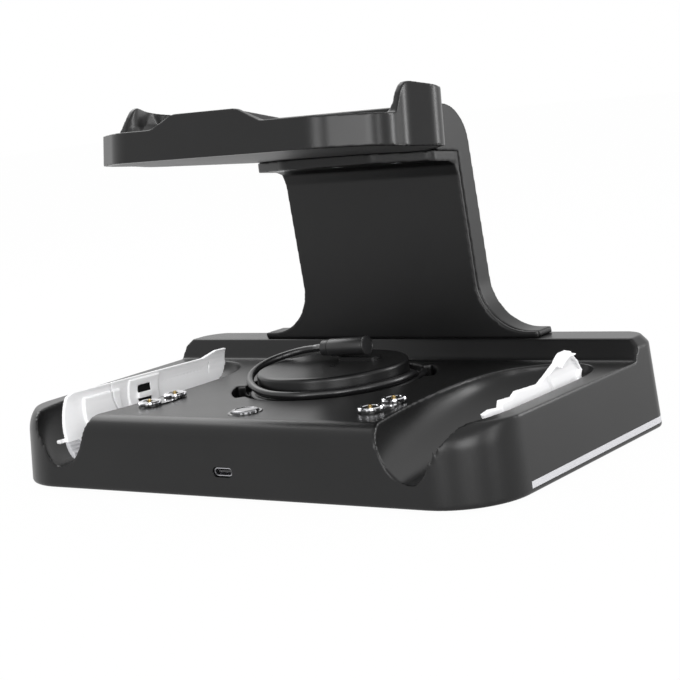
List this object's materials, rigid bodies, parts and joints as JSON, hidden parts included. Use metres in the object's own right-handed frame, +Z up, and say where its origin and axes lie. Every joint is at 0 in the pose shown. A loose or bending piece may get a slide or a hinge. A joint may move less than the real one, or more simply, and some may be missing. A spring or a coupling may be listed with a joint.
{
  "type": "virtual reality charging station",
  "caption": "Desk charging station with two controller cradles, magnetic contacts, a cable winder and an arm that carries a tilted headset tray",
  "frame": {"origin": "on the surface it stands on, under the middle of the footprint", "axes": "X to the right as seen from the front, Y to the back, Z up"},
  "size_m": [0.244, 0.145, 0.1543],
  "materials": {
    "satin_shell": "fine satin moulding",
    "cover_plastic": "matt moulding",
    "rubber": "matt",
    "screw_steel": "zinc plated",
    "light_guide": "frosted light guide",
    "circuit_board": "solder resist",
    "socket_metal": "plated shell",
    "gloss_black": "gloss moulding",
    "button_chrome": "bright plated",
    "ring_chrome": "bright nickel plated",
    "pin_gold": "gold plated",
    "cable_jacket": "smooth, slightly glossy jacket",
    "plug_plastic": "satin moulding",
    "cover_white": "satin white moulding",
    "cover_contacts": "gloss with plated contacts"
  },
  "bodies": {
    "station": {"base_shell": "satin_shell", "bottom_cover": "cover_plastic", "rubber_feet": "rubber", "bottom_screws": "screw_steel", "light_strip": "light_guide", "led_board_left": "circuit_board", "led_board_right": "circuit_board", "main_board": "circuit_board", "usb_socket_shell": "socket_metal", "usb_socket_tongue": "gloss_black", "button_bezel": "gloss_black", "button_switch": "gloss_black", "button_board": "circuit_board", "contact_base_left": "gloss_black", "contact_base_right": "gloss_black", "contact_ring_left_front": "ring_chrome", "contact_ring_left_rear": "ring_chrome", "contact_ring_right_front": "ring_chrome", "contact_ring_right_rear": "ring_chrome", "pin_barrels": "pin_gold", "contact_board_left": "circuit_board", "contact_board_right": "circuit_board", "cable_hub": "satin_shell", "hub_screw": "screw_steel", "cable_winding": "cable_jacket", "cable_lead": "cable_jacket", "plug_collar": "plug_plastic", "plug_body": "plug_plastic", "plug_tip": "plug_plastic", "arm_rear_shell": "satin_shell", "arm_front_panel": "satin_shell", "arm_screws": "screw_steel", "headset_tray": "satin_shell", "tray_bottom_cover": "cover_plastic", "tray_screws": "screw_steel", "left_battery_cover": "cover_white", "right_battery_cover": "cover_white", "left_cover_contact": "cover_contacts"},
    "power_button": {"power_button": "button_chrome"},
    "contact_pin_left_front": {"contact_pin_left_front": "pin_gold"},
    "contact_pin_left_rear": {"contact_pin_left_rear": "pin_gold"},
    "contact_pin_right_front": {"contact_pin_right_front": "pin_gold"},
    "contact_pin_right_rear": {"contact_pin_right_rear": "pin_gold"}
  },
  "joints": [
    {"name": "button_press", "type": "slide", "parent": "station", "child": "power_button", "axis": [0, 0, -1], "range_m": [0, 0.0005], "stiffness_N_per_m": 600},
    {"name": "pin_press_left_front", "type": "slide", "parent": "station", "child": "contact_pin_left_front", "axis": [0, 0, -1], "range_m": [0, 0.001], "stiffness_N_per_m": 500},
    {"name": "pin_press_left_rear", "type": "slide", "parent": "station", "child": "contact_pin_left_rear", "axis": [0, 0, -1], "range_m": [0, 0.001], "stiffness_N_per_m": 500},
    {"name": "pin_press_right_front", "type": "slide", "parent": "station", "child": "contact_pin_right_front", "axis": [0, 0, -1], "range_m": [0, 0.001], "stiffness_N_per_m": 500},
    {"name": "pin_press_right_rear", "type": "slide", "parent": "station", "child": "contact_pin_right_rear", "axis": [0, 0, -1], "range_m": [0, 0.001], "stiffness_N_per_m": 500}
  ]
}
